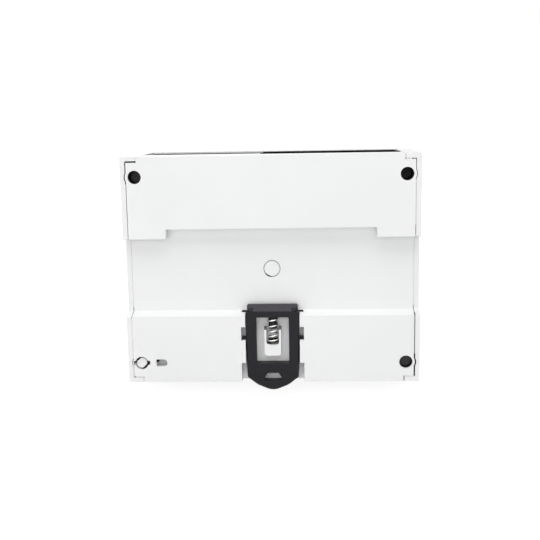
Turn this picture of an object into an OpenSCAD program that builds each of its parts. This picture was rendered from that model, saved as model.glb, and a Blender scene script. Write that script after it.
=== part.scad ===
// Three-phase energy meter for a 35 mm rail, seven modules wide.
// X runs across the meter, Y points to the rear and Z points up.
// The origin is the middle of the seat that lies against the rail.

/* [Body] */
// Overall width, seven modules of 17.5 mm
body_w = 122.5; // [120:0.5:140]
// Height of the body without the rail clip
body_h = 95; // [94:0.5:100]
// Depth from the rail seat to the front of the terminal covers
shoulder_depth = 44; // [43:0.5:48]
// Depth from the rail seat to the front of the nose
nose_depth = 59.5; // [58:0.5:66]
// Height of the nose that shows through a panel cut-out
nose_h = 45; // [44:0.5:46]
// General wall thickness of the mouldings
wall = 2; // [1.6:0.1:2.2]
// Thickness of the side walls of the front housing
side_wall = 2; // [1.6:0.1:2.2]
// Width of the corner strips that the front housing turns in at the rear
corner_w = 6.2; // [5.8:0.1:6.6]
// Thickness of the corner strips
corner_t = 2; // [1.6:0.1:2.4]
// Gap of the seams between mouldings
seam_gap = 0.15; // [0.1:0.05:0.2]
// Gap of the seam between the rear base and the side walls
side_gap = 0.25; // [0.15:0.05:0.3]
// Gap between the rear base and the corner strips
corner_gap = 0.35; // [0.15:0.05:0.4]
// Radius of the moulded outer edges
edge_r = 0.6; // [0.3:0.1:1]
// Radius of the long front edges of the nose
nose_r = 1.5; // [0.8:0.1:2.5]

/* [Rear base] */
// Depth that the walls of the rear base reach in front of the rail seat
base_depth = 12.4; // [12:0.1:13]
// Height of the rail that the meter hangs on
rail_h = 35; // [34.8:0.1:35.2]
// Clearance above and below the rail
rail_clear = 0.1; // [0.05:0.05:0.2]
// Depth of the blocks behind the rail seat
block_depth = 5.5; // [5.3:0.1:6]
// Room under the hooks for the flange of the rail
flange_room = 1.3; // [1.2:0.1:1.5]
// How far the hooks reach down over the rail
hook_reach = 4; // [2.5:0.1:4.1]
// Half of the opening between the two hooks
hook_x = 43.5; // [40:0.5:46]
// Rise of the sloping ledge under the rail
ledge_run = 1.6; // [1:0.1:2.2]
// Radius of the round mark in the middle of the seat
mark_r = 3.5; // [2.5:0.1:4.5]
// Width of the groove of the round mark
mark_groove = 0.3; // [0.2:0.05:0.5]
// Length of the D-shaped pocket
pocket_l = 4.65; // [4:0.05:6]
// Height of the D-shaped pocket
pocket_h = 3.1; // [2.6:0.1:3.6]
// Depth of the D-shaped pocket
pocket_depth = 5; // [3:0.1:8]
// Distance from the side of the body to the D-shaped pocket
pocket_inset = 11.85; // [11.4:0.05:16]

/* [Case screws] */
// Distance from the side of the body to a case screw
screw_inset_x = 5.65; // [5.6:0.05:5.8]
// Distance from the top or bottom of the body to a case screw
screw_inset_z = 8.3; // [8:0.1:8.8]
// Radius of the wells that the case screws sit in
well_r = 2.75; // [2.6:0.05:2.9]
// Wall of the tube round a screw well
well_wall = 1.1; // [1:0.05:1.2]
// Radius of a case screw's head
case_head_r = 2.4; // [2.2:0.05:2.5]
// Height of a case screw's head
case_head_h = 1.8; // [1.4:0.1:2.4]
// Radius of a case screw's shank
case_shank_r = 1.4; // [1.2:0.05:1.5]
// Length of a case screw's shank
case_shank_l = 16; // [12:0.5:20]
// Radius of the sealing plug's disc
plug_r = 2; // [1.9:0.05:2.4]
// Reach of the sealing plug's ears from its centre
plug_ear = 3.3; // [3:0.1:3.4]

/* [Rail clip] */
// Width of the clip below its nose
clip_w = 22.5; // [20:0.1:22.7]
// Width of the clip's nose
clip_nose_w = 21.4; // [19:0.1:21.8]
// Width of the clip at the foot
clip_foot_w = 21.5; // [19.5:0.1:22]
// How far the nose reaches up behind the rail
clip_reach = 2.8; // [2.4:0.1:3.2]
// Height of the bar between the nose's tip and the window
nose_bar_h = 5.2; // [4.8:0.1:5.6]
// How far the foot of the clip stands out below the body
foot_out = 3.8; // [3:0.1:5]
// Height of the straight sides up from the foot tip
foot_h = 5.5; // [4.8:0.1:6]
// Radius of the foot tip
foot_r = 7; // [5:0.5:8]
// Travel of the clip when it is pulled to free the rail
clip_travel = 4; // [3:0.1:4.2]
// Gap between the clip and the surfaces that guide it
clip_gap = 0.15; // [0.1:0.05:0.2]
// Depth of the clip's recess below the rear face
recess_depth = 4.7; // [4.6:0.05:4.8]
// Half width of the recess with its side channels
recess_x = 13.15; // [12.6:0.05:13.6]
// Thickness of the lower lips that hold the clip's ears
lip_t = 1.5; // [1.3:0.1:1.7]
// Height of the gap under the upper lips
upper_ear_room = 1.2; // [1:0.1:1.5]
// Height of the upper lips from the ledge to the pockets
upper_lip_h = 6.3; // [5.8:0.1:6.6]
// Height of the two side pockets
side_pocket_h = 5.7; // [5:0.1:6]
// Height of the lower lips
lower_lip_h = 9.8; // [9.4:0.1:10.4]
// Height of the clip's window
window_h = 19.25; // [18.9:0.05:19.6]
// Width of the clip's window
window_w = 13.7; // [12.5:0.1:14]
// Width of the finger slot
slot_w = 7.6; // [6:0.1:9]
// Height of the finger slot
slot_h = 3.7; // [3:0.1:3.9]
// Outer radius of the clip spring
spring_r = 2.4; // [2.2:0.05:2.45]
// Diameter of the spring wire
wire_d = 0.6; // [0.4:0.05:0.6]
// Length of the clip spring at rest
spring_l = 11.55; // [11.2:0.05:11.9]
// Length of the spigot inside the clip spring
spigot_l = 5; // [3:0.5:6]
// Turns of the clip spring
spring_turns = 6.5; // [5.5:0.5:8]
// Height of the block that the spring pushes on
cradle_h = 4.9; // [4:0.1:5]
// Wall of the spring's cradle
cradle_wall = 0.85; // [0.7:0.05:1]

/* [Terminals] */
// Distance from the side of the body to the first main terminal
first_way = 15.25; // [15:0.05:15.6]
// Spacing of the main terminals
way_pitch = 14.2; // [14:0.1:15]
// Number of main terminals on each side
ways = 4; // [3:1:4]
// Depth of the wire entries below the rail seat
entry_depth = 25.5; // [25:0.1:26]
// Radius of a main wire entry
entry_r = 4.1; // [3.8:0.05:4.2]
// Width of a busbar
bar_w = 6; // [5:0.1:6.4]
// Thickness of a busbar
bar_t = 2; // [1.5:0.1:2.2]
// Wall of a terminal cage
cage_t = 1.1; // [0.9:0.05:1.2]
// Inside width of a terminal cage
cage_in_w = 8.4; // [8.4:0.05:8.6]
// Height of a terminal cage
cage_h = 11; // [9:0.5:12]
// Clearance round parts that are dropped into the mouldings
fit_gap = 0.2; // [0.1:0.05:0.25]
// Wall between the last main terminal and the auxiliary block
block_wall = 2.5; // [2:0.1:2.8]
// How far the top of a main terminal block lies below the body's edge
block_drop = 0.3; // [0.2:0.05:0.5]
// How far the top of an auxiliary block lies below the body's edge
aux_drop = 0.65; // [0.4:0.05:1]
// Number of auxiliary terminals on each side
aux_ways = 8; // [4:1:9]
// Spacing of the auxiliary terminals
aux_pitch = 5; // [4.6:0.1:5.1]
// Radius of the clamp screws in the main terminals
clamp_r = 2.3; // [2:0.1:2.5]
// Radius of the heads of the clamp screws
clamp_head_r = 3.2; // [3:0.1:3.4]
// Thickness of the terminal covers
cover_t = 2; // [1.6:0.1:2.2]
// Distance of the cover screws from the middle of the body
cover_screw_z = 28; // [27:0.5:29]

/* [Front] */
// Width of the display window
lens_w = 62; // [50:0.5:66]
// Height of the display window
lens_h = 24; // [18:0.5:26]
// Distance of the display window's middle from the middle of the nose
lens_x = -16; // [-20:0.5:-12]
// Thickness of the display window
lens_t = 1.5; // [1.2:0.1:1.6]
// Ledge that the display window is glued to
lens_ledge = 1.5; // [1:0.1:2]
// Thickness of the circuit boards
board_t = 1.6; // [1:0.1:1.8]
// Radius of the scroll button
button_r = 3.5; // [3:0.1:4]
// How far the scroll button stands out of the nose
button_proud = 0.6; // [0.4:0.1:1]
// Travel of the scroll button
button_travel = 0.5; // [0.3:0.05:0.55]
// Clearance round the scroll button
button_gap = 0.3; // [0.2:0.05:0.4]
// Distance of the scroll button from the middle of the nose
button_x = 41; // [38:0.5:44]
// Radius of a pulse lamp
lamp_r = 1.5; // [1.2:0.1:1.6]
// Distance of the pulse lamps above and below the scroll button
lamp_dz = 12; // [9:0.5:13]

/* [Circuit] */
// Outer radius of a current transformer
ct_r = 6.9; // [6:0.1:6.95]
// Length of a current transformer
ct_l = 9; // [7:0.5:10]
// Offset of neighbouring current transformers along their bars
ct_step = 6; // [4:0.5:7]
// Distance from the sides of the body to the main board
board_inset_x = 11.25; // [10:0.25:15]
// Distance from the top and bottom of the body to the main board
board_inset_z = 17.5; // [17:0.5:22]
// Gap between the base and the main board
board_gap = 6.2; // [6:0.1:6.4]

/* [Hidden] */
$fn = 48;

// Half sizes and the levels of the rear
hw = body_w / 2;
hh = body_h / 2;
nose_hh = nose_h / 2;
eps = 0.01;
stop_z = rail_h / 2 + rail_clear;
base_hw = hw - side_wall - side_gap;
corner_x = hw - corner_w;
corner_z = hh - corner_t;
screw_x = hw - screw_inset_x;
screw_z = hh - screw_inset_z;
well_end = base_depth - 0.5;
well_floor = 1.5;
well_tube_r = well_r + well_wall;
post_r = 3.2;
pocket_wall = 1.5;
rib_t = 1.2;
base_rib_h = 6;
base_ribs = [-36, -18, 0, 18, 36];
cover_ribs = [-48, -24, 10, 34];
post_end = shoulder_depth - cover_t - 0.05;
cover_screw_x = hw - 4.4;
cover_post_r = 2.5;
cover_post_l = 16;
cover_shank_r = 1.1;
cover_shank_l = 8;
cover_head_r = 2.4;
cover_head_h = 2.2;
// Clip and its recess
recess_y = block_depth - recess_depth;
lip_y = block_depth - lip_t;
clip_y0 = recess_y + clip_gap;
clip_y1 = block_depth - 0.3;
nose_z = -rail_h / 2 + clip_reach;
foot_z = -hh - foot_out;
lip_x = clip_w / 2 + clip_gap;
ear_x = recess_x - 0.3;
ear_y = lip_y - clip_gap;
upper_ear_y = recess_y + upper_ear_room;
pocket_z1 = -stop_z - upper_lip_h;
pocket_z0 = pocket_z1 - side_pocket_h;
lip_end_z = pocket_z0 - lower_lip_h;
window_z = nose_z - nose_bar_h;
spring_y = recess_y + spring_r - 0.2;
spring_z1 = window_z - 0.15;
spring_z0 = spring_z1 - spring_l;
spring_room = 0.25;
cradle_x = spring_r + spring_room + cradle_wall;
cradle_y = block_depth - 0.9;
cradle_arm_h = 6.8;
lug_z = window_z - window_h - 0.6;
lug_h = 1.2;
slot_z = foot_z + 4;
slot_top_w = 4.2;
foot_mid_x = 6.6;
foot_mid_h = 2.2;
foot_side_z = lug_z + 1.4;
lug_x = 2.5;
// Terminal blocks
block_x0 = -(corner_x - 0.85);
block_x1 = way_x(ways - 1) + cage_in_w / 2 + cage_t + fit_gap + block_wall;
block_y0 = -(post_end - cover_t);
block_y1 = -(base_depth + seam_gap);
block_z0 = nose_hh + seam_gap;
bar_y1 = -entry_depth + entry_r + bar_t;
bar_y0 = bar_y1 - bar_t;
cage_in_y1 = bar_y1 + 0.1;
cage_in_y0 = -entry_depth - entry_r;
cage_w = cage_in_w + 2 * cage_t;
cage_z1 = hh - block_drop - 6.2;
cage_z0 = cage_z1 - cage_h;
cage_z = (cage_z0 + cage_z1) / 2;
clamp_tip_y = cage_in_y0;
clamp_head_y = cage_in_y0 - cage_t - 2.2;
clamp_head_h = 3;
aux_x0 = block_x1 + seam_gap;
aux_x1 = -block_x0;
aux_mid = (aux_x0 + aux_x1) / 2;
aux_entry_r = 1.5;
aux_entry_y = -30;
aux_entry_h = 12;
aux_head_r = 1.4;
aux_screw_l = 3;
aux_screw_z = hh - aux_drop - aux_entry_h + 3;
aux_screw_y = aux_entry_y - aux_entry_r - 0.2;
// Nose and display
nose_in_y = -(nose_depth - wall);
frame_y0 = nose_in_y + 0.1;
frame_h = lens_h + 2;
frame_w = lens_w + 2;
display_y = nose_in_y + 5.6;
glass_y = frame_y0 + 0.6;
glass_t = 2;
switch_y = display_y - 2;
lamp_seat = 1;
flange_t = 1;
stem_r = 1.6;
switch_w = 6;
// Boards
board_w = body_w - 2 * board_inset_x;
board_h = body_h - 2 * board_inset_z;
main_y1 = -(wall + board_gap);
main_y0 = main_y1 - board_t;
standoff_x = board_w / 2 - 3;
standoff_z = 14;
standoff_r = 2.6;
display_w = body_w - 2 * side_wall - 4;
display_h = nose_h - 2 * wall - 1;
display_post_x = display_w / 2 - 4;
display_post_z = display_h / 2 - 4;

function way_x(i) = -hw + first_way + i * way_pitch;
function ct_z(i) = (i % 2 == 0 ? 1 : -1) * ct_step;

// Arc of n steps that rounds the corner p between the points a and b
function unit(v) = v / norm(v);
function spin2(v, a) = [v[0] * cos(a) - v[1] * sin(a), v[0] * sin(a) + v[1] * cos(a)];
function fillet(a, p, b, r, n) =
    let (u = unit(a - p), v = unit(b - p), th = acos(u * v))
    let (c = p + unit(u + v) * r / sin(th / 2), t = r / tan(th / 2))
    let (s = p + u * t - c, e = p + v * t - c, dir = cross(s, e) > 0 ? 1 : -1)
    [for (i = [0:n]) c + spin2(s, dir * (180 - th) * i / n)];

// Outline from corners [x, y, radius], a radius of 0 leaving the corner sharp
function outline(pts, n = 4) = let (m = len(pts)) [for (i = [0:m - 1])
    let (a = pts[(i + m - 1) % m], p = pts[i], b = pts[(i + 1) % m])
    each (p[2] > 0 ? fillet([a[0], a[1]], [p[0], p[1]], [b[0], b[1]], p[2], n)
        : [[p[0], p[1]]])];

// Extrudes a (Y, Z) profile along X, centred
module along_x(w) rotate([90, 0, 90]) linear_extrude(w, center = true) children();

// Extrudes a (Y, Z) profile along X between two places
module along_x_from(x0, x1) translate([(x0 + x1) / 2, 0, 0]) along_x(x1 - x0) children();

// Extrudes an (X, Z) profile from y0 to y1
module along_y(y0, y1)
    translate([0, y1, 0]) rotate([90, 0, 0]) linear_extrude(y1 - y0) children();

// Box between two corners
module span(a, b) translate(a) cube(b - a);

// Cylinder along Y from y0 to y1
module rod_y(x, z, r, y0, y1)
    translate([x, y1, z]) rotate([90, 0, 0]) cylinder(h = y1 - y0, r = r);

// Copies children to the four case screws
module at_case_screws() for (sx = [-1, 1], sz = [-1, 1])
    translate([sx * screw_x, 0, sz * screw_z]) children();

// Turns a piece of the upper half into its lower counterpart
module half(s) mirror([0, 0, s > 0 ? 0 : 1]) children();

// Side view of the whole meter without the clip
function side_view() = outline([
    [block_depth, hh, edge_r], [block_depth, stop_z - hook_reach, 0.3],
    [flange_room, stop_z - hook_reach, 0.3], [flange_room, stop_z, 0], [0, stop_z, 0],
    [0, -stop_z, 0.3], [block_depth, -stop_z - ledge_run, 0.4], [block_depth, -hh, edge_r],
    [-shoulder_depth, -hh, edge_r], [-shoulder_depth, -nose_hh, 0],
    [-nose_depth, -nose_hh, nose_r], [-nose_depth, nose_hh, nose_r],
    [-shoulder_depth, nose_hh, 0], [-shoulder_depth, hh, edge_r]]);

// Side view of the rear base, its blocks ending t inside of z1 and its walls t thick
function base_view(z1, t, front) = [
    [block_depth - t, z1 - t], [block_depth - t, stop_z + t], [-t, stop_z + t],
    [-t, -stop_z - t], [block_depth - t, -stop_z - ledge_run - t],
    [block_depth - t, -z1 + t], [-front, -z1 + t], [-front, z1 - t]];

module hook(s) span([s > 0 ? hook_x : -base_hw, flange_room, stop_z - hook_reach],
    [s > 0 ? base_hw : -hook_x, block_depth, stop_z + wall]);

module clip_guides() difference() {
    // Solid bed of the clip, seen from the rear as one flush face
    intersection() {
        span([-recess_x - wall, recess_y - wall, -hh], [recess_x + wall, block_depth, -stop_z]);
        along_x(body_w) polygon(base_view(hh, 0, base_depth));
    }
    // Channel between the lips, side channels under them and the two pockets
    span([-lip_x, recess_y, -hh - 1], [lip_x, block_depth + 1, -stop_z + 1]);
    span([-recess_x, recess_y, pocket_z1 - 1], [recess_x, upper_ear_y, -stop_z + 1]);
    span([-recess_x, recess_y, -hh - 1], [recess_x, lip_y, pocket_z1]);
    span([-recess_x, recess_y, pocket_z0], [recess_x, block_depth + 1, pocket_z1]);
    span([-recess_x, recess_y, -hh - 1], [recess_x, block_depth + 1, lip_end_z]);
    // Trough under the spring and slot for the clip's stop lug
    translate([0, spring_y, spring_z0]) cylinder(h = spring_l, r = spring_r + spring_room);
    span([-lug_x - clip_gap, recess_y - wall - 1, lug_z - lug_h - clip_travel - clip_gap],
        [lug_x + clip_gap, recess_y + 1, lug_z + 0.05]);
    // Mould opening under the foot of the spring
    span([-spring_r + 0.3, recess_y - wall - 1, spring_z0 + 0.05],
        [spring_r - 0.3, recess_y + 1, spring_z0 + 1.8]);
}

// U-shaped cradle with the solid block that the spring pushes on
module spring_cradle() difference() {
    along_y(recess_y - 0.5, cradle_y) polygon(outline([
        [-cradle_x, spring_z0 + cradle_arm_h, 0.3], [cradle_x, spring_z0 + cradle_arm_h, 0.3],
        [cradle_x, spring_z0 - cradle_h, 1.2], [-cradle_x, spring_z0 - cradle_h, 1.2]]));
    along_y(recess_y - 1, cradle_y + 1) polygon(outline([
        [-cradle_x + cradle_wall, spring_z0 + cradle_arm_h + 1, 0],
        [cradle_x - cradle_wall, spring_z0 + cradle_arm_h + 1, 0],
        [cradle_x - cradle_wall, spring_z0, 0.9], [-cradle_x + cradle_wall, spring_z0, 0.9]]));
}

module d_pocket() {
    x1 = hw - pocket_inset;
    x0 = x1 - pocket_l;
    z1 = -screw_z + pocket_h / 2;
    z0 = z1 - pocket_h;
    round_r = pocket_h / 2 - 0.05;
    along_y(block_depth - pocket_depth, block_depth + 1)
        polygon(outline([[x1, z0, 0.2], [x1, z1, 0.2], [x0, z1, round_r], [x0, z0, round_r]], 8));
    // Hole in the pocket's corner
    span([x1 - 0.9, block_depth - pocket_depth - pocket_wall - 1, z1 - 1.3],
        [x1, block_depth - pocket_depth + 1, z1]);
}

module rear_base() color("whitesmoke") difference() {
    union() {
        difference() {
            union() {
                along_x(2 * base_hw) polygon(base_view(corner_z - corner_gap, 0, base_depth));
                along_x(2 * (corner_x - corner_gap)) polygon(base_view(hh, 0, base_depth));
            }
            along_x(2 * (base_hw - wall))
                polygon(base_view(corner_z - corner_gap, wall, base_depth + 1));
            along_x(2 * (corner_x - corner_gap - wall))
                polygon(base_view(hh, wall, base_depth + 1));
            span([-recess_x - wall, recess_y, -hh - 1],
                [recess_x + wall, block_depth + 1, -stop_z + 1]);
        }
        for (s = [-1, 1]) hook(s);
        clip_guides();
        spring_cradle();
        at_case_screws() rod_y(0, 0, well_tube_r, -well_end, block_depth);
        // Box behind the D-shaped pocket
        span([hw - pocket_inset - pocket_l - pocket_wall, block_depth - pocket_depth - pocket_wall,
            -screw_z - pocket_h / 2 - pocket_wall],
            [hw - pocket_inset + pocket_wall, block_depth - wall + 0.5,
            -screw_z + pocket_h / 2 + pocket_wall]);
        // Pillars that carry the main board
        for (sx = [-1, 1], sz = [-1, 1])
            rod_y(sx * standoff_x, sz * standoff_z, standoff_r, main_y1 + 0.05, -wall + 0.5);
        // Stiffening ribs inside the two blocks, none at the lower one's clip
        for (x = base_ribs, s = [-1, 1]) if (s > 0 || x != 0) half(s)
            span([x - rib_t / 2, -base_depth + 4, hh - base_rib_h],
                [x + rib_t / 2, block_depth - wall + 0.5, hh - wall + 0.5]);
    }
    // Screw wells, their through holes and the room for the housing's posts
    at_case_screws() {
        rod_y(0, 0, well_r, -well_end + well_floor, block_depth + 1);
        rod_y(0, 0, case_shank_r + fit_gap, -well_end - 1, block_depth);
    }
    for (sx = [-1, 1], sz = [-1, 1])
        rod_y(sx * screw_x, sz * screw_z, post_r + seam_gap, -base_depth - 1, -well_end);
    // Slots for the ears of the sealing plug
    span([screw_x - plug_ear - 0.25, block_depth - 2, -screw_z - 0.95],
        [screw_x + plug_ear + 0.25, block_depth + 1, -screw_z + 0.95]);
    d_pocket();
    for (sx = [-1, 1], sz = [-1, 1])
        rod_y(sx * standoff_x, sz * standoff_z, 1.1 + fit_gap / 2, main_y1 - 1, -wall - 0.8);
    // Round mark in the seat
    difference() {
        rod_y(0, 0, mark_r, -0.2, 1);
        rod_y(0, 0, mark_r - mark_groove, -1, 2);
    }
}

module front_housing() color("white") difference() {
    union() {
        for (s = [-1, 1]) translate([s * (hw - side_wall / 2), 0, 0])
            along_x(side_wall) polygon(side_view());
        // Corner strips, turned in along the top and the bottom
        for (sx = [-1, 1], sz = [-1, 1])
            span([sx > 0 ? corner_x : -hw + 0.5, -post_end, sz > 0 ? corner_z : -hh],
                [sx > 0 ? hw - 0.5 : -corner_x, block_depth, sz > 0 ? hh : -corner_z]);
        // Nose with its two long walls
        along_x(body_w - side_wall) difference() {
            polygon(outline([[-base_depth - 1.6, -nose_hh, 0], [-nose_depth, -nose_hh, nose_r],
                [-nose_depth, nose_hh, nose_r], [-base_depth - 1.6, nose_hh, 0]]));
            polygon([[0, -nose_hh + wall], [nose_in_y, -nose_hh + wall],
                [nose_in_y, nose_hh - wall], [0, nose_hh - wall]]);
        }
        // Posts for the case screws, with a web to the corner strips
        at_case_screws() rod_y(0, 0, post_r, -post_end, -well_end - 0.05);
        for (sx = [-1, 1], sz = [-1, 1])
            span([sx * screw_x - 0.75, -post_end, sz > 0 ? screw_z : -corner_z - 0.5],
                [sx * screw_x + 0.75, block_y1, sz > 0 ? corner_z + 0.5 : -screw_z]);
        // Posts for the cover screws
        for (sx = [-1, 1], sz = [-1, 1])
            rod_y(sx * cover_screw_x, sz * cover_screw_z, cover_post_r, -post_end,
                -post_end + cover_post_l);
        // Frame round the window and posts for the display board
        along_y(nose_in_y - 0.5, nose_in_y + 1.4) difference() {
            translate([lens_x, 0])
                square([frame_w + 2 * fit_gap + 2.2, frame_h + 2 * fit_gap + 2.2], center = true);
            translate([lens_x, 0])
                square([frame_w + 2 * fit_gap, frame_h + 2 * fit_gap], center = true);
        }
        for (sx = [-1, 1], sz = [-1, 1])
            rod_y(sx * display_post_x, sz * display_post_z, 2.4, nose_in_y - 0.5, display_y - 0.05);
    }
    // Round relief beside each screw well of the rear base
    at_case_screws() rod_y(0, 0, well_tube_r + side_gap, -well_end, block_depth + 1);
    for (sx = [-1, 1], sz = [-1, 1]) {
        rod_y(sx * screw_x, sz * screw_z, case_shank_r + eps, -well_end - case_shank_l,
            -well_end + 1);
        rod_y(sx * cover_screw_x, sz * cover_screw_z, cover_shank_r + eps, -post_end - 1,
            -post_end + cover_shank_l + 0.5);
    }
    // Ear of the sealing plug
    span([screw_x, block_depth - 2, -screw_z - 0.95],
        [screw_x + plug_ear + 0.25, block_depth + 1, -screw_z + 0.95]);
    // Display window with its ledge, lamps and button
    along_y(-nose_depth - 1, -nose_depth + lens_t) translate([lens_x, 0])
        square([lens_w, lens_h], center = true);
    along_y(-nose_depth - 1, nose_in_y + 1) translate([lens_x, 0])
        square([lens_w - 2 * lens_ledge, lens_h - 2 * lens_ledge], center = true);
    for (s = [-1, 1])
        rod_y(button_x, s * lamp_dz, lamp_r + 0.1, -nose_depth - 1, nose_in_y + 1);
    rod_y(button_x, 0, button_r + button_gap, -nose_depth - 1, nose_in_y + 1);
    // Slots where the busbars pass the long walls of the nose
    for (i = [0:ways - 1], s = [-1, 1])
        half(s) span([way_x(i) - bar_w / 2 - fit_gap, bar_y0 - fit_gap, nose_hh - wall - 1],
            [way_x(i) + bar_w / 2 + fit_gap, bar_y1 + fit_gap, nose_hh + 1]);
}

// Side view of a terminal block that ends at z
function block_view(z) = outline([[block_y1, block_z0, 0.3], [block_y1, z, 0.4],
    [block_y0, z, 0.4], [block_y0, block_z0, 0.3]]);

module terminal_block(s) color("#26262a") half(s) difference() {
    top = hh - block_drop;
    along_x_from(block_x0, block_x1) polygon(block_view(top));
    for (i = [0:ways - 1]) {
        x = way_x(i);
        // Chamber that the cage is pushed into from below
        span([x - cage_w / 2 - fit_gap, cage_in_y0 - cage_t - fit_gap, block_z0 - 1],
            [x + cage_w / 2 + fit_gap, cage_in_y1 + cage_t + fit_gap, cage_z1 + fit_gap]);
        // Wire entry with its lead-in
        translate([x, -entry_depth, cage_z1 - 1]) cylinder(h = 10, r = entry_r);
        translate([x, -entry_depth, top - 1]) cylinder(h = 1.01, r1 = entry_r, r2 = entry_r + 0.9);
        // Screwdriver funnel
        rod_y(x, cage_z, clamp_head_r + 0.3, block_y0 - 1, cage_in_y0 - cage_t);
    }
    // Creepage grooves between the ways
    for (i = [0:ways - 2])
        span([way_x(i) + way_pitch / 2 - 0.5, block_y0 - 1, top - 1.6],
            [way_x(i) + way_pitch / 2 + 0.5, block_y1 - 4, top + 1]);
    // Room for the posts of the housing
    rod_y(-screw_x, screw_z, post_r + fit_gap, block_y0 - 1, block_y1 + 1);
    rod_y(-cover_screw_x, cover_screw_z, cover_post_r + fit_gap, block_y0 - 1, block_y1 + 1);
}

function aux_x(i) = aux_mid + (i - (aux_ways - 1) / 2) * aux_pitch;

module aux_block(s) color("#2e2e33") half(s) difference() {
    top = hh - aux_drop;
    along_x_from(aux_x0, aux_x1) polygon(block_view(top));
    for (i = [0:aux_ways - 1]) {
        translate([aux_x(i), aux_entry_y, top - aux_entry_h])
            cylinder(h = aux_entry_h + 1, r = aux_entry_r);
        translate([aux_x(i), aux_entry_y, top - 0.5])
            cylinder(h = 0.51, r1 = aux_entry_r, r2 = aux_entry_r + 0.45);
        rod_y(aux_x(i), aux_screw_z, aux_head_r + 0.25, block_y0 - 1, aux_entry_y);
    }
    rod_y(screw_x, screw_z, post_r + fit_gap, block_y0 - 1, block_y1 + 1);
    rod_y(cover_screw_x, cover_screw_z, cover_post_r + fit_gap, block_y0 - 1, block_y1 + 1);
}

module terminal_cover(s) color("white") half(s) difference() {
    union() {
        along_x(2 * base_hw) polygon(outline([
            [-shoulder_depth, nose_hh + seam_gap, 0.3], [-shoulder_depth, hh, 1],
            [-shoulder_depth + cover_t, hh, 0], [-shoulder_depth + cover_t, nose_hh + seam_gap, 0]]));
        // Lip over the front edge of the terminal blocks
        span([-corner_x + fit_gap, -shoulder_depth + cover_t - 0.5, hh - 1.6],
            [corner_x - fit_gap, block_y0 - 0.15, hh]);
        // Ribs that press the terminal blocks home
        for (x = cover_ribs)
            span([x - rib_t / 2, -shoulder_depth + cover_t - 0.5, nose_hh + 1.5],
                [x + rib_t / 2, block_y0 - 0.1, hh - 2]);
    }
    for (sx = [-1, 1])
        rod_y(sx * cover_screw_x, cover_screw_z, cover_shank_r + 0.25, -shoulder_depth - 1, 0);
}

module display_window() color([0.8, 0.85, 0.85, 0.4]) along_y(-nose_depth, -nose_depth + lens_t)
    translate([lens_x, 0]) square([lens_w - 0.2, lens_h - 0.2], center = true);

// Tray with a diffuser that holds the glass in front of the board
module display_frame() color("white") difference() {
    along_y(frame_y0, display_y - 0.05) translate([lens_x, 0])
        square([frame_w, frame_h], center = true);
    along_y(frame_y0 - 1, glass_y + glass_t + 0.1) translate([lens_x, 0])
        square([frame_w - 2, frame_h - 2], center = true);
    along_y(glass_y, display_y - 1) translate([lens_x, 0])
        square([frame_w - 6, frame_h - 6], center = true);
}

module display_glass() color("#8fa58a") along_y(glass_y, glass_y + glass_t)
    translate([lens_x, 0]) square([frame_w - 2.2, frame_h - 2.2], center = true);

module display_board() color("darkgreen") difference() {
    along_y(display_y, display_y + board_t) square([display_w, display_h], center = true);
    for (sx = [-1, 1], sz = [-1, 1])
        rod_y(sx * display_post_x, sz * display_post_z, 1.1, display_y - 1, display_y + board_t + 1);
}

module scroll_button() color("gray") {
    rod_y(button_x, 0, button_r, -nose_depth - button_proud + 0.6, nose_in_y + 0.2);
    translate([button_x, -nose_depth - button_proud + 0.6, 0]) rotate([90, 0, 0])
        cylinder(h = 0.6, r1 = button_r, r2 = button_r - 0.5);
    rod_y(button_x, 0, button_r + 1, nose_in_y + 0.1, nose_in_y + 0.1 + flange_t);
    rod_y(button_x, 0, stem_r, nose_in_y + flange_t, switch_y - button_travel - 0.05);
}

module button_switch() color("dimgray") {
    span([button_x - switch_w / 2, switch_y + 0.5, -switch_w / 2],
        [button_x + switch_w / 2, display_y - 0.02, switch_w / 2]);
    rod_y(button_x, 0, stem_r + 0.1, switch_y, switch_y + 1);
}

module pulse_lamp(s) color("red") {
    rod_y(button_x, s * lamp_dz, lamp_r, -nose_depth + 0.4, display_y - 0.02);
    translate([button_x, -nose_depth + 0.4, s * lamp_dz]) difference() {
        sphere(r = lamp_r);
        span([-3, 0, -3], [3, 3, 3]);
        span([-3, -3, -3], [3, -lamp_seat, 3]);
    }
    rod_y(button_x, s * lamp_dz, lamp_r + 0.35, display_y - 1.5, display_y - 0.02);
}

module main_board() color("darkgreen") difference() {
    along_y(main_y0, main_y1) square([board_w, board_h], center = true);
    for (sx = [-1, 1], sz = [-1, 1])
        rod_y(sx * standoff_x, sz * standoff_z, 1.3, main_y0 - 1, main_y1 + 1);
}

// Pin strip that joins the two boards
module board_link() color("#222222")
    span([board_w / 2 - 4.5, display_y + board_t + 0.02, -10], [board_w / 2 - 1.5, main_y0 - 0.02, 10]);

// Laminated core across a wound bobbin
module supply_transformer() color("gold") {
    x = board_w / 2 - 18;
    half_w = 10;
    core_half_w = 8;
    foot_y = main_y0 - 3;
    core_y = main_y0 - 15;
    span([x - half_w, foot_y, -half_w], [x + half_w, main_y0 - 0.02, half_w]);
    span([x - core_half_w, core_y, -half_w], [x + core_half_w, foot_y, half_w]);
    span([x - half_w, core_y - 1.5, -core_half_w], [x + half_w, core_y, core_half_w]);
}

module filter_capacitor() color("firebrick") translate([board_w / 2 - 36, 0, 0])
    along_y(main_y0 - 12, main_y0 - 0.02)
        polygon(outline([[-4, -17, 1], [4, -17, 1], [4, 4, 1], [-4, 4, 1]]));

module storage_capacitor() color("midnightblue")
    rod_y(board_w / 2 - 36, 11, 4, main_y0 - 16, main_y0 - 0.02);

module metering_chip() color("#1c1c1c") translate([board_w / 2 - 22, 0, 16])
    span([-5, main_y0 - 1.4, -5], [5, main_y0 - 0.02, 5]);

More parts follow.
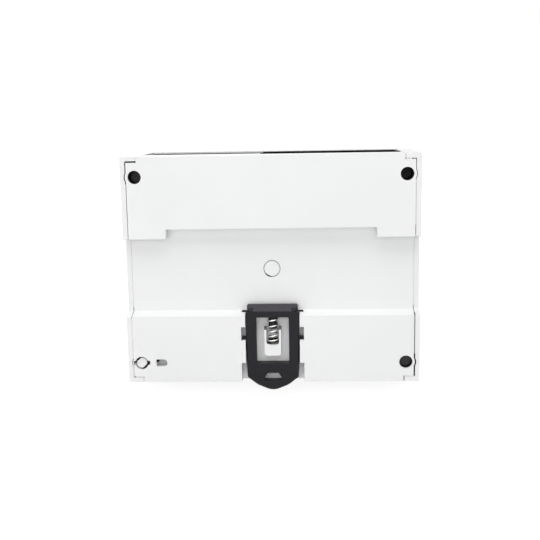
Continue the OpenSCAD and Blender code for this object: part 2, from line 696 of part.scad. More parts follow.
module varistor(i) color("royalblue")
    rod_y(board_w / 2 - 27 + 8.5 * i, -15.3, 4, main_y0 - 4.4, main_y0 - 0.02);

module current_transformer(i) color("#3a5a8c") translate([way_x(i), (bar_y0 + bar_y1) / 2, ct_z(i)])
    rotate_extrude() polygon(outline([
        [norm([bar_w, bar_t]) / 2 + 0.1, -ct_l / 2, 0.3], [ct_r, -ct_l / 2, 0.8],
        [ct_r, ct_l / 2, 0.8], [norm([bar_w, bar_t]) / 2 + 0.1, ct_l / 2, 0.3]]));

module busbar(i) color("peru")
    span([way_x(i) - bar_w / 2, bar_y0, -cage_z1 + 0.5],
        [way_x(i) + bar_w / 2, bar_y1, cage_z1 - 0.5]);

module cage(i, s) color("silver") half(s) difference() {
    span([way_x(i) - cage_w / 2, cage_in_y0 - cage_t, cage_z0],
        [way_x(i) + cage_w / 2, cage_in_y1 + cage_t, cage_z1]);
    span([way_x(i) - cage_in_w / 2, cage_in_y0, cage_z0 - 1],
        [way_x(i) + cage_in_w / 2, cage_in_y1, cage_z1 + 1]);
    rod_y(way_x(i), cage_z, clamp_r + eps, cage_in_y0 - cage_t - 1, cage_in_y0 + 1);
}

module clamp_screws(s) color("silver") half(s) for (i = [0:ways - 1]) difference() {
    union() {
        rod_y(way_x(i), cage_z, clamp_r, clamp_head_y - 0.5, clamp_tip_y);
        rod_y(way_x(i), cage_z, clamp_head_r, clamp_head_y - clamp_head_h, clamp_head_y);
    }
    for (a = [0, 90]) translate([way_x(i), 0, cage_z]) rotate([0, a, 0])
        span([-clamp_head_r + 0.8, clamp_head_y - clamp_head_h - 1, -0.5],
            [clamp_head_r - 0.8, clamp_head_y - clamp_head_h + 1.4, 0.5]);
}

module aux_screws(s) color("silver") half(s) for (i = [0:aux_ways - 1]) difference() {
    rod_y(aux_x(i), aux_screw_z, aux_head_r, aux_screw_y - aux_screw_l, aux_screw_y);
    span([aux_x(i) - 2, aux_screw_y - aux_screw_l - 1, aux_screw_z - 0.3],
        [aux_x(i) + 2, aux_screw_y - aux_screw_l + 0.8, aux_screw_z + 0.3]);
}

// Pan-head screws that are driven from the rear
module case_screws() color("silver") at_case_screws() difference() {
    head_y = -well_end + well_floor;
    union() {
        rod_y(0, 0, case_head_r, head_y, head_y + case_head_h);
        rod_y(0, 0, case_shank_r, head_y - well_floor - case_shank_l + 0.5, head_y + 0.5);
    }
    for (a = [0, 90]) rotate([0, a, 0])
        span([-1.5, head_y + case_head_h - 1, -0.4], [1.5, head_y + case_head_h + 1, 0.4]);
}

// Sealing screws of the covers, with a hole for the seal wire
module cover_screws() color("silver") for (sx = [-1, 1], sz = [-1, 1])
    translate([sx * cover_screw_x, -shoulder_depth, sz * cover_screw_z]) difference() {
        union() {
            rod_y(0, 0, cover_head_r, -cover_head_h, -0.02);
            rod_y(0, 0, cover_shank_r, -0.5, cover_t + cover_shank_l);
        }
        span([-cover_head_r - 1, -cover_head_h - 1, -0.4],
            [cover_head_r + 1, -cover_head_h + 0.8, 0.4]);
        translate([0, -0.9, -4]) cylinder(h = 8, r = 0.4);
    }

module board_screws() color("silver") for (sx = [-1, 1], sz = [-1, 1])
    translate([sx * standoff_x, 0, sz * standoff_z]) {
        rod_y(0, 0, 2.2, main_y0 - 1.6, main_y0 - 0.02);
        rod_y(0, 0, 1.1, main_y0 - 1, main_y1 + 4);
    }

// Twist-in plug that closes one screw well
module sealing_plug() color("white") translate([screw_x, 0, -screw_z]) {
    rod_y(0, 0, plug_r, block_depth - 2.6, block_depth - 0.25);
    span([-plug_ear, block_depth - 1.9, -0.8], [plug_ear, block_depth - 1.3, 0.8]);
}

// Front view of the clip, without its window
function clip_outline() = outline([
    [-clip_nose_w / 2, nose_z, 0.8], [clip_nose_w / 2, nose_z, 0.8],
    [clip_nose_w / 2, -stop_z + 0.2, 0], [clip_w / 2, -stop_z - 0.4, 0.2],
    [clip_w / 2 - 0.1, foot_side_z, 6], [clip_foot_w / 2, foot_z + foot_h, 1.2],
    [foot_mid_x, foot_z + foot_mid_h, 9], [0, foot_z - 0.55, foot_r],
    [-foot_mid_x, foot_z + foot_mid_h, 9], [-clip_foot_w / 2, foot_z + foot_h, 1.2],
    [-clip_w / 2 + 0.1, foot_side_z, 6], [-clip_w / 2, -stop_z - 0.4, 0.2],
    [-clip_nose_w / 2, -stop_z + 0.2, 0]], 6);

module rail_clip() color("#2c2b30") {
    clip_plate();
    translate([0, spring_y, window_z - spigot_l])
        cylinder(h = spigot_l + 0.5, r = spring_r - wire_d - 0.1);
}

module clip_plate() difference() {
    union() {
        intersection() {
            along_y(clip_y0 - 1, clip_y1 + 1) polygon(clip_outline());
            along_x(clip_w + 2) polygon(outline([
                [flange_room + 0.05, nose_z, 0.2], [flange_room + 1.1, nose_z, 0.4],
                [clip_y1, nose_z - 2.2, 0.4], [clip_y1, foot_z - 1, 0.6], [clip_y0, foot_z - 1, 0.6],
                [clip_y0, -stop_z - 0.4, 0], [flange_room + 0.05, -stop_z - 0.4, 0]]));
        }
        // Ears that run under the lips
        span([-ear_x, clip_y0, -stop_z - 1.4], [ear_x, upper_ear_y - clip_gap, -stop_z + 0.1]);
        span([-ear_x, clip_y0, pocket_z0 - 4.4], [ear_x, ear_y, pocket_z0 + 1]);
        // Stop lug on the underside
        span([-lug_x, recess_y - 1.2, lug_z - lug_h], [lug_x, clip_y0 + 0.5, lug_z]);
    }
    along_y(clip_y0 - 1, clip_y1 + 1) polygon(outline([
        [-window_w / 2, window_z, 0.2], [window_w / 2, window_z, 0.2],
        [window_w / 2, window_z - window_h, 0.2], [-window_w / 2, window_z - window_h, 0.2]]));
    finger_slot();
    for (s = [0, 1]) mirror([s, 0, 0]) nose_chamfer();
}

// Slope at one side of the nose, ending in a small step above the ears
module nose_chamfer() translate([0, 0, -stop_z]) linear_extrude(rail_h / 2) polygon([
    [clip_nose_w / 2 + 1, flange_room + 0.9], [clip_nose_w / 2 + 1, clip_y1 + 1],
    [clip_nose_w / 2 - 1.9, clip_y1 + 1], [clip_nose_w / 2 - 1.5, clip_y1],
    [clip_nose_w / 2 + 0.1, flange_room + 0.9]]);

// Half-moon slot that takes a screwdriver to pull the clip down
module finger_slot() along_y(clip_y0 - 1, clip_y1 + 1) polygon(outline([
    [-slot_w / 2, slot_z, 0.3], [slot_w / 2, slot_z, 0.3], [slot_w / 2 - 0.2, slot_z + 1.6, 1.6],
    [slot_top_w / 2, slot_z + slot_h, 0.9], [-slot_top_w / 2, slot_z + slot_h, 0.9],
    [-slot_w / 2 + 0.2, slot_z + 1.6, 1.6]]));

// Height of the spring wire's middle after t turns, with one closed turn at each end
function rise(t) = t < 1 ? t * wire_d : t > spring_turns - 1
    ? spring_l - wire_d - (spring_turns - t) * wire_d
    : wire_d + (t - 1) * (spring_l - 3 * wire_d) / (spring_turns - 2);

// Point of the wire's skin after t turns, at angle b round the wire
function wire_skin(t, b) = let (w = wire_d / 2, r = spring_r - w + w * cos(b))
    [-r * cos(360 * t), -r * sin(360 * t), spring_z0 + w + rise(t) + w * sin(b)];

module clip_spring() color("lightgray") {
    steps = 18;
    sides = 6;
    count = round(spring_turns * steps);
    points = [for (i = [0:count], k = [0:sides - 1]) wire_skin(i / steps, 360 * k / sides)];
    skin = [for (i = [0:count - 1], k = [0:sides - 1]) let (n = (k + 1) % sides)
        [i * sides + k, (i + 1) * sides + k, (i + 1) * sides + n, i * sides + n]];
    caps = [[for (k = [0:sides - 1]) k], [for (k = [sides - 1:-1:0]) count * sides + k]];
    translate([0, spring_y, 0]) polyhedron(points, concat(skin, caps), convexity = 10);
}

rear_base();
front_housing();
terminal_block(1);  // terminal_block_top
terminal_block(-1);  // terminal_block_bottom
aux_block(1);  // aux_block_top
aux_block(-1);  // aux_block_bottom
terminal_cover(1);  // terminal_cover_top
terminal_cover(-1);  // terminal_cover_bottom
display_window();
display_frame();
display_glass();
display_board();
scroll_button();
button_switch();
pulse_lamp(1);  // pulse_lamp_active
pulse_lamp(-1);  // pulse_lamp_reactive
main_board();
board_link();
supply_transformer();
filter_capacitor();
storage_capacitor();
metering_chip();
varistor(0);  // varistor_1
varistor(1);  // varistor_2
varistor(2);  // varistor_3
current_transformer(0);  // current_transformer_1
current_transformer(1);  // current_transformer_2
current_transformer(2);  // current_transformer_3
busbar(0);  // busbar_1
busbar(1);  // busbar_2
busbar(2);  // busbar_3
busbar(3);  // busbar_4
cage(0, 1);  // cage_top_1
cage(1, 1);  // cage_top_2
cage(2, 1);  // cage_top_3
cage(3, 1);  // cage_top_4
cage(0, -1);  // cage_bottom_1
cage(1, -1);  // cage_bottom_2
cage(2, -1);  // cage_bottom_3
cage(3, -1);  // cage_bottom_4
clamp_screws(1);  // clamp_screws_top
clamp_screws(-1);  // clamp_screws_bottom
aux_screws(1);  // aux_screws_top
aux_screws(-1);  // aux_screws_bottom
case_screws();
cover_screws();
board_screws();
sealing_plug();
rail_clip();
clip_spring();
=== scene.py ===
# Three-phase energy meter for a 35 mm rail, seen from the rear.
# Sizes are in millimetres and carried into metres by MM. X runs across the meter,
# Y points to the rear and Z up, from the middle of the seat on the rail.
import math

import bmesh
import bpy
import numpy as np
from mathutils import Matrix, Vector


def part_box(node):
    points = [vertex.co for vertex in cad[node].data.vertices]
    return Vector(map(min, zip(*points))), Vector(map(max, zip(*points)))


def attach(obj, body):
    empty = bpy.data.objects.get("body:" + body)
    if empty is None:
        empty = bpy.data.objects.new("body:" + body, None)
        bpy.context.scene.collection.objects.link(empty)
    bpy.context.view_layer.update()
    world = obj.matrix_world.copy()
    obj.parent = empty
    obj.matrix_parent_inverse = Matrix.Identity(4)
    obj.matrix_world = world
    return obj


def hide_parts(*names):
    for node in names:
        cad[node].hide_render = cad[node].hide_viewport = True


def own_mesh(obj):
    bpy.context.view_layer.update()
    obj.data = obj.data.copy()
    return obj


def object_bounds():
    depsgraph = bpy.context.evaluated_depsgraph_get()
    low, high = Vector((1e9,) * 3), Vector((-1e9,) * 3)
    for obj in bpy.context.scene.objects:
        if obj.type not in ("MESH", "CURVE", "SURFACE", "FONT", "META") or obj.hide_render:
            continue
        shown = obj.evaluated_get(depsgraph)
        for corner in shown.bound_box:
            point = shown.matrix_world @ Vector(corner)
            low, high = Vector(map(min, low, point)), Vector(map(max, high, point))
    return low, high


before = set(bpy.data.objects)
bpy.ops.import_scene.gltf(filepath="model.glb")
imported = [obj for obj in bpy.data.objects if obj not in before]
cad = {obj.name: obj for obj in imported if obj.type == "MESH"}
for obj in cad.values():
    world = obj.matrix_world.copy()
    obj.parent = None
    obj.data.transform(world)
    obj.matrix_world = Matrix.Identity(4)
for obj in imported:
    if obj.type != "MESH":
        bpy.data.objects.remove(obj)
cad_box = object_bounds()
scene = bpy.context.scene
MM = 0.001


# ---- Studio -------------------------------------------------------------------------
# A white sweep under a big soft lamp above the camera. The camera stands where the
# photograph was taken from: behind the meter, a little above its middle.

def node_tree(owner):
    """Empties a material's or world's node tree and returns a function that adds nodes.

    add(kind, plugs..., **named) sets inputs in order or by name, from a value or a socket,
    and takes settings of the node itself in the dictionary `settings`.
    """
    owner.use_nodes = True
    tree = owner.node_tree
    tree.nodes.clear()

    def add(kind, *plugs, settings=None, **named):
        made = tree.nodes.new("ShaderNode" + kind)
        for key, value in (settings or {}).items():
            setattr(made, key, value)
        wanted = [(made.inputs[i], v) for i, v in enumerate(plugs) if v is not None]
        wanted += [(made.inputs[key.replace("_", " ")], v) for key, v in named.items()]
        for socket, value in wanted:
            if isinstance(value, bpy.types.NodeSocket):
                tree.links.new(value, socket)
            else:
                socket.default_value = value
        return made
    return add


def seen_straight(add):
    """Socket that is 1 for rays from the camera, a mirror or a pane, and 0 for the rest."""
    rays = add("LightPath")
    seen = add("Math", rays.outputs["Is Camera Ray"], rays.outputs["Is Glossy Ray"],
               settings={"operation": "MAXIMUM"})
    return add("Math", seen.outputs[0], rays.outputs["Is Transmission Ray"],
               settings={"operation": "MAXIMUM"}).outputs[0]


EYE = (-16.10, 365.44, 62.01)
EYE_TURN = (80.282, 0.969, -177.510)
LENS = 58.96
SENSOR = 36.0
camera = bpy.data.objects.new("camera", bpy.data.cameras.new("camera"))
camera.location = [v * MM for v in EYE]
camera.rotation_euler = [math.radians(a) for a in EYE_TURN]
camera.data.sensor_width = SENSOR
camera.data.lens = LENS
camera.data.clip_start = 0.01
camera.data.clip_end = 50.0
scene.collection.objects.link(camera)
scene.camera = camera
scene.view_settings.view_transform = "Standard"

ROOM_LIGHT = 0.40
WHITE = (1.0, 1.0, 1.0, 1.0)
world = bpy.data.worlds.new("room")
scene.world = world
add = node_tree(world)
lit = add("Background", Color=WHITE, Strength=ROOM_LIGHT)
white = add("Background", Color=WHITE, Strength=1.0)
either = add("MixShader", seen_straight(add), lit.outputs[0], white.outputs[0])
add("OutputWorld", either.outputs[0])


def soft_lamp(name, place, width, height, watts):
    """Area lamp at a place, turned so that it faces the meter."""
    lamp = bpy.data.objects.new(name, bpy.data.lights.new(name, "AREA"))
    lamp.data.shape = "RECTANGLE"
    lamp.data.size = width
    lamp.data.size_y = height
    lamp.data.energy = watts
    lamp.location = place
    lamp.rotation_euler = Vector(place).to_track_quat("Z", "Y").to_euler()
    scene.collection.objects.link(lamp)


# Places and sizes in metres, and power in watts.
soft_lamp("lamp_overhead", (0.0, 0.45, 0.95), 1.1, 0.7, 6.7)
soft_lamp("lamp_behind_camera", (0.12, 1.10, 0.30), 1.0, 0.6, 2.8)
soft_lamp("lamp_front_side", (0.30, -0.90, 0.60), 0.8, 0.6, 2.0)

# The floor lies as far under the clip as it slides, so that the open clip clears it. Its
# paper takes the meter's shadow, and glows a little where the camera looks at it.
FLOOR_HALF = 6.0
FLOOR_GLOW = 0.90
CLIP_TRAVEL = 4.0
floor_z = cad_box[0].z - CLIP_TRAVEL * MM
sweep = bpy.data.meshes.new("floor")
corners = [(-1, -1), (1, -1), (1, 1), (-1, 1)]
sweep.from_pydata([(x * FLOOR_HALF, y * FLOOR_HALF, floor_z) for x, y in corners], [],
                  [(0, 1, 2, 3)])
floor = bpy.data.objects.new("floor", sweep)
scene.collection.objects.link(floor)
paper = bpy.data.materials.new("floor_paper")
add = node_tree(paper)
fibre = add("TexNoise", Scale=300.0, Detail=3.0)
tooth = add("Bump", Strength=0.05, Distance=0.0002, Height=fibre.outputs[0])
matt = add("BsdfDiffuse", Color=(0.86, 0.86, 0.86, 1.0), Normal=tooth.outputs[0])
pale = add("BsdfDiffuse", Color=(0.30, 0.30, 0.30, 1.0), Normal=tooth.outputs[0])
glow = add("Emission", Color=WHITE, Strength=FLOOR_GLOW)
both = add("AddShader", pale.outputs[0], glow.outputs[0])
either = add("MixShader", seen_straight(add), matt.outputs[0], both.outputs[0])
add("OutputMaterial", either.outputs[0])
sweep.materials.append(paper)


# ---- Rear base and front housing ----------------------------------------------------
# Two white mouldings in a flame-retardant plastic. The tool was spark eroded, so the
# faces have a fine even grain, and every edge has the small radius of its cutter.

def moulded(name, colour, roughness, grain=0.012, mottle=0.02, edge=0.2, speck=0.0,
            shine=0.5):
    """Moulded plastic: grain as fine noise bump, slow shade and gloss drift, soft edges.

    grain and edge are in millimetres, mottle and speck are shares of the colour, and shine
    is the specular level.
    """
    mat = bpy.data.materials.new(name)
    add = node_tree(mat)
    place = add("TexCoord").outputs["Object"]
    drift = add("TexNoise", Vector=place, Scale=28.0, Detail=2.0)
    erode = add("TexNoise", Vector=place, Scale=4200.0, Detail=2.0, Roughness=0.6)
    shade = add("MapRange", drift.outputs[0], 0.3, 0.7, 1.0 - mottle, 1.0 + mottle * 0.5)
    fine = add("MapRange", erode.outputs[0], 0.35, 0.75, 1.0 - speck, 1.0 + speck)
    level = add("Math", shade.outputs[0], fine.outputs[0], settings={"operation": "MULTIPLY"})
    tint = add("VectorMath", tuple(colour), settings={"operation": "SCALE"},
               Scale=level.outputs[0])
    gloss = add("MapRange", drift.outputs[0], 0.3, 0.7, roughness - 0.04, roughness + 0.05)
    soft = add("Bevel", Radius=edge * MM, settings={"samples": 4})
    bump = add("Bump", Strength=0.5, Distance=grain * MM, Height=erode.outputs[0],
               Normal=soft.outputs[0])
    skin = add("BsdfPrincipled", Base_Color=tint.outputs[0], Roughness=gloss.outputs[0],
               Specular_IOR_Level=shine, Normal=bump.outputs[0])
    add("OutputMaterial", skin.outputs[0])
    return mat


def wear(material, *names):
    """Gives CAD nodes one material."""
    for name in names:
        cad[name].data.materials.clear()
        cad[name].data.materials.append(material)


wear(moulded("white_moulding", (0.86, 0.865, 0.865), 0.42), "rear_base")
wear(moulded("white_housing", (0.85, 0.852, 0.85), 0.40), "front_housing")


# ---- Terminal blocks ----------------------------------------------------------------
# Black glass-filled mouldings that hold the main and the small terminals. They are
# dropped in from the front and show as a dark line above the rear base.
terminal_moulding = moulded("black_terminal_moulding", (0.016, 0.016, 0.017), 0.7,
                            grain=0.02, speck=0.3, shine=0.0)
wear(terminal_moulding, "terminal_block_top", "terminal_block_bottom", "aux_block_top",
     "aux_block_bottom")


# ---- Terminal covers ----------------------------------------------------------------
# White mouldings of the same plastic, pushed over the terminals from the front. Each is
# held by two screws, through which the sealing wire goes.
wear(moulded("white_cover", (0.865, 0.868, 0.865), 0.38), "terminal_cover_top",
     "terminal_cover_bottom")


# ---- Rail clip ----------------------------------------------------------------------
# Slide moulded in black nylon. The rim of its rear face is chamfered all round, so that
# a thumb or a screwdriver finds no sharp edge, and the window and the slot are broken.
# The slope of its nose and the chamfer of its foot are painted lighter grey as a highlight,
# and the upward faces inside the window and the slot are painted darker as shade.

def merged(name):
    """Copy of a CAD node's mesh, its loose triangles joined and its flat faces whole."""
    shape = bmesh.new()
    shape.from_mesh(cad[name].data)
    bmesh.ops.remove_doubles(shape, verts=shape.verts, dist=0.0005 * MM)
    bmesh.ops.dissolve_limit(shape, angle_limit=math.radians(0.5), verts=shape.verts,
                             edges=shape.edges)
    return shape


def put(name, shape, body, slot, material, *nodes, smooth=30.0):
    """Makes an object of a bmesh, which rides on a body and stands for CAD nodes."""
    mesh = bpy.data.meshes.new(name)
    shape.to_mesh(mesh)
    shape.free()
    mesh.materials.append(material)
    made = bpy.data.objects.new(name, mesh)
    scene.collection.objects.link(made)
    mesh.shade_smooth()
    mesh.set_sharp_from_angle(angle=math.radians(smooth))
    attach(made, body)
    if nodes:
        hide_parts(*nodes)
    return made


# Where the chamfers of the nose, the window, the foot and the finger slot begin and end,
# how much lower the window's lower edge is set, and the width of each chamfer.
clip_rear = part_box("rail_clip")[1].y / MM
NOSE_FOOT = -18.07
WINDOW_HALF = 7.4
WINDOW_FOOT = -39.15
WINDOW_DROP = 0.52
SHADE_TOP = -38.0
FOOT_TOP = -42.0
SLOT_FOOT = -47.7
CHAMFERS = {"rim": 0.6, "foot": 0.8, "inner": 0.15}
clip = merged("rail_clip")
for corner in clip.verts:
    above = corner.co.z / MM - WINDOW_FOOT
    if abs(corner.co.x) < WINDOW_HALF * MM and abs(above - 0.1) < 0.15:
        corner.co.z -= WINDOW_DROP * MM

# Each face carries a value: 1 on the chamfer of the foot, which is painted lighter as a
# highlight, and -1 on the upward faces inside window and slot, which lie in shade and are
# painted darker as shade.
painted_light = clip.faces.layers.float.new("painted_light")
for cut, width in CHAMFERS.items():
    ends = np.array([[v.co for v in e.verts] for e in clip.edges]) / MM
    turn = np.array([e.calc_face_angle(0.0) for e in clip.edges])
    flat = (np.abs(ends[:, :, 1] - clip_rear) < 0.01).all(axis=1) & (turn > 0.6)
    middle = ends.mean(axis=1)
    inner = (np.abs(middle[:, 0]) < WINDOW_HALF) & (middle[:, 2] > SLOT_FOOT)
    foot = ~inner & (middle[:, 2] < FOOT_TOP)
    chosen = flat & {"rim": ~inner & ~foot & (middle[:, 2] < NOSE_FOOT), "foot": foot,
                     "inner": inner & (middle[:, 2] < NOSE_FOOT)}[cut]
    cut_faces = bmesh.ops.bevel(
        clip, geom=[e for e, yes in zip(list(clip.edges), chosen) if yes],
        offset=width * MM, segments=2, affect="EDGES", clamp_overlap=False)["faces"]
    for face in cut_faces:
        face[painted_light] = 1.0 if cut == "foot" else 0.0
for face in clip.faces:
    centre = face.calc_center_median() / MM
    within = abs(centre.x) < WINDOW_HALF and SLOT_FOOT < centre.z < SHADE_TOP
    if within and face.normal.z > 0.9:
        face[painted_light] = -1.0

# The slope of the nose down to its lower edge is painted lighter grey as a highlight, except
# for two dark wedges at its ends, outside WEDGE_IN and below WEDGE_TOP.
NOSE_EDGE = -16.95
WEDGE_IN = 7.7
WEDGE_TOP = -15.95
black_nylon = bpy.data.materials.new("black_nylon")
add = node_tree(black_nylon)
place = add("TexCoord").outputs["Object"]
drift = add("TexNoise", Vector=place, Scale=60.0, Detail=3.0)
erode = add("TexNoise", Vector=place, Scale=4200.0, Detail=2.0)
drawn_out = add("Mapping", Vector=place, Scale=(0.25, 1.0, 1.0))
streaks = add("TexNoise", Vector=drawn_out.outputs[0], Scale=2200.0, Detail=3.0)
part = add("SeparateXYZ", place)
nose = add("MapRange", part.outputs[2], (NOSE_EDGE - 0.75) * MM, (NOSE_EDGE + 0.05) * MM,
           0.0, 1.0)
aside = add("Math", part.outputs[0], settings={"operation": "ABSOLUTE"})
outer = add("MapRange", aside.outputs[0], WEDGE_IN * MM, (WEDGE_IN + 0.5) * MM, 0.0, 1.0)
lower = add("MapRange", part.outputs[2], (WEDGE_TOP + 0.1) * MM, (WEDGE_TOP - 0.1) * MM,
            0.0, 1.0)
wedge = add("Math", outer.outputs[0], lower.outputs[0], settings={"operation": "MULTIPLY"})
clean = add("Math", 1.0, wedge.outputs[0], settings={"operation": "SUBTRACT"})
nose = add("Math", nose.outputs[0], clean.outputs[0], settings={"operation": "MULTIPLY"})
rim = add("Attribute", settings={"attribute_name": "painted_light"})
# Upward faces inside the window and the slot are painted darker, down to 0.15 of the colour: a
# painted shade.
dark = add("MapRange", rim.outputs["Fac"], -1.0, 0.0, 0.15, 1.0)
# The chamfer of the foot is painted lighter, at half the nose's strength: a painted highlight.
rim = add("Math", rim.outputs["Fac"], 0.5, settings={"operation": "MULTIPLY"})
both = add("Math", nose.outputs[0], rim.outputs[0], settings={"operation": "MAXIMUM"})
# Painted highlight on the nose slope and on the foot's chamfer, varied by the streaks and
# added to the colour below.
painted_highlight = add("MapRange", streaks.outputs[0], 0.3, 0.7, 0.75, 1.1)
painted_highlight = add("Math", painted_highlight.outputs[0], both.outputs[0], settings={"operation": "MULTIPLY"})
shade = add("MapRange", drift.outputs[0], 0.3, 0.7, 0.85, 1.1)
shade = add("Math", shade.outputs[0], dark.outputs[0], settings={"operation": "MULTIPLY"})
plain = add("VectorMath", (0.0092, 0.0086, 0.0118), settings={"operation": "SCALE"},
            Scale=shade.outputs[0])
painted_highlight_tint = add("VectorMath", (0.042, 0.039, 0.045), settings={"operation": "SCALE"},
           Scale=painted_highlight.outputs[0])
tint = add("VectorMath", plain.outputs[0], painted_highlight_tint.outputs[0], settings={"operation": "ADD"})
gloss = add("MapRange", nose.outputs[0], 0.0, 1.0, 0.42, 0.32)
soft = add("Bevel", Radius=0.2 * MM, settings={"samples": 4})
bump = add("Bump", Strength=0.5, Distance=0.008 * MM, Height=erode.outputs[0],
           Normal=soft.outputs[0])
skin = add("BsdfPrincipled", Base_Color=tint.outputs[0], Roughness=gloss.outputs[0],
           Specular_IOR_Level=0.22, Normal=bump.outputs[0])
add("OutputMaterial", skin.outputs[0])
put("clip_slide", clip, "clip", "clip_black", black_nylon, "rail_clip", smooth=14.0)


# ---- Clip spring --------------------------------------------------------------------
# Compression spring of hard-drawn wire with one closed turn at each end. The outside of the
# wire is painted bright and the inside of the coil dark, a painted highlight and shade, and
# its first turn darker still as a painted shadow.

def skinned(grids, outward=None, closed=False):
    """A bmesh from grids of points (rows, points round, 3), each closed round its rows.

    Rows next to each other are joined by four-sided faces. The first and the last row of
    each grid are closed by one face each, or joined to each other where closed is true.
    outward is a value for each point, kept as an attribute of that name.
    """
    shape = bpy.data.meshes.new("grids")
    faces, start = [], 0
    for grid in grids:
        rows, around = grid.shape[:2]
        i, j = np.meshgrid(np.arange(rows if closed else rows - 1), np.arange(around),
                           indexing="ij")
        k, after = (j + 1) % around, (i + 1) % rows
        quads = np.stack([i * around + j, i * around + k, after * around + k,
                          after * around + j], axis=-1).reshape(-1, 4) + start
        ring = np.arange(around)
        faces += quads.tolist()
        if not closed:
            faces += [(start + ring[::-1]).tolist(),
                      (start + (rows - 1) * around + ring).tolist()]
        start += rows * around
    points = np.concatenate([grid.reshape(-1, 3) for grid in grids]) * MM
    shape.from_pydata(points.tolist(), [], faces)
    if outward is not None:
        shape.attributes.new("outward", "FLOAT", "POINT").data.foreach_set(
            "value", np.asarray(outward, dtype=np.float32).ravel())
    made = bmesh.new()
    made.from_mesh(shape)
    bmesh.ops.recalc_face_normals(made, faces=made.faces)
    bpy.data.meshes.remove(shape)
    return made


SPRING_Y = 3.0
SPRING_FOOT = -31.6
SPRING_LENGTH = 11.55
SPRING_R = 2.4
SPRING_LEAN = 0.15
WIRE = 0.6
TURNS = (0.0, 0.75, 1.75, 2.75, 3.75, 4.75, 5.75, 6.25)
RISES = (0.0, 0.45, 1.36, 3.37, 5.37, 7.56, 10.1, 10.95)


def coil():
    """Wire wound on a cylinder: the middle of the wire turns about Z and rises from turn to
    turn through the given rises, smoothed over half a turn, and a circle is carried along it.
    The foot of the coil leans a little aside. Returns the points and how far each faces out,
    which is the cosine of its angle round the wire, and 1.5 less at the start of the coil,
    where a painted shade darkens it: in full up to 0.8 turns, and fading out by 1.3.
    """
    t = np.linspace(TURNS[0], TURNS[-1], 301)
    rise = np.mean([np.interp(t + d, TURNS, RISES) for d in np.linspace(-0.25, 0.25, 11)],
                   axis=0)
    rise += np.interp(t, [0.0, 0.25, 6.0, 6.25],
                      [RISES[0] - rise[0], 0, 0, RISES[-1] - rise[-1]])
    b = np.linspace(0.0, 2 * np.pi, 14, endpoint=False)
    t, b = np.meshgrid(t, b, indexing="ij")
    rise = rise[:, None]
    # Painted shadow under the lowest coil: the start of the coil is made darker.
    painted_shade_start = np.clip(2.6 - 2 * t, 0.0, 1.0)
    reach = SPRING_R - WIRE / 2 + WIRE / 2 * np.cos(b)
    lean = -SPRING_LEAN * (1.0 - rise / SPRING_LENGTH)
    grid = np.stack([lean - reach * np.cos(2 * np.pi * t),
                     SPRING_Y - reach * np.sin(2 * np.pi * t),
                     SPRING_FOOT + WIRE / 2 + rise + WIRE / 2 * np.sin(b)], axis=-1)
    return grid, np.cos(b) - 1.5 * painted_shade_start


drawn = bpy.data.materials.new("hard_drawn_wire")
add = node_tree(drawn)
place = add("TexCoord").outputs["Object"]
side = add("Attribute", settings={"attribute_name": "outward"})
# The inside of the coil is painted dark and the outside bright: a painted shade and highlight.
bright = add("MapRange", side.outputs["Fac"], -0.5, 0.45, 0.05, 0.86)
spots = add("TexNoise", Vector=place, Scale=900.0, Detail=3.0)
level = add("MapRange", spots.outputs[0], 0.3, 0.7, 0.85, 1.05)
level = add("Math", bright.outputs[0], level.outputs[0], settings={"operation": "MULTIPLY"})
tint = add("VectorMath", (1.0, 0.985, 0.95), settings={"operation": "SCALE"},
           Scale=level.outputs[0])
gloss = add("MapRange", spots.outputs[0], 0.3, 0.7, 0.22, 0.38)
lines = add("Bump", Strength=0.3, Distance=0.004 * MM, Height=spots.outputs[0])
skin = add("BsdfPrincipled", Base_Color=tint.outputs[0], Metallic=1.0,
           Roughness=gloss.outputs[0], Normal=lines.outputs[0])
add("OutputMaterial", skin.outputs[0])
coil_points, coil_side = coil()
spring = put("coil_spring", skinned([coil_points], coil_side), "housing",
             "spring_steel", drawn, "clip_spring", smooth=50.0)
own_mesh(spring)


# ---- Sealing plug -------------------------------------------------------------------
# White plug pushed into the well at the lower left and twisted, so that its two ears lie deep
# in their slots. Two scallops in the rim take the tool, and the face is dished. The ears and
# the deep slots under the scallops are painted black as shade.

def turned(place, profile, scallops=(), depth=0.0, around=72):
    """Profile of (radius, depth) rows carried round an axis along Y through a place in X
    and Z. Each scallop takes a share of the radius away round its angle, as a bell curve.
    """
    profile = np.asarray(profile, dtype=float)
    turn = np.linspace(0.0, 2 * np.pi, around, endpoint=False)
    share = np.ones(around)
    for angle in scallops:
        off = (turn - math.radians(angle) + np.pi) % (2 * np.pi) - np.pi
        share -= depth * np.exp(-(off / 0.45) ** 2)
    radius = profile[:, :1] * share[None, :]
    return np.stack([place[0] + radius * np.cos(turn), profile[:, 1:] + 0 * radius,
                     place[1] + radius * np.sin(turn)], axis=-1)


def bar(low, high, corner, steps=6):
    """Bar along X between two corners: a rounded rectangle in Y and Z carried along X,
    its two ends drawn in by a quarter circle.
    """
    low, high = np.asarray(low, float), np.asarray(high, float)
    turn = np.linspace(0.0, 2 * np.pi, 8 * steps, endpoint=False) + np.pi / (8 * steps)
    half = (high[1:] - low[1:]) / 2
    mid = (high[1:] + low[1:]) / 2
    arc = np.linspace(0.0, np.pi / 2, steps)
    inset = corner * (1 - np.concatenate([np.sin(arc), np.sin(arc[::-1])]))
    x = np.concatenate([low[0] + corner * (1 - np.cos(arc)),
                        high[0] - corner * (1 - np.cos(arc[::-1]))])
    flat = half - corner
    out = np.stack([np.cos(turn), np.sin(turn)], axis=-1)
    y, z = [mid[a] + np.sign(out[:, a]) * flat[a] + out[:, a] * (corner - inset[:, None])
            for a in (0, 1)]
    return np.stack([np.repeat(x[:, None], len(turn), axis=1), y, z], axis=-1)


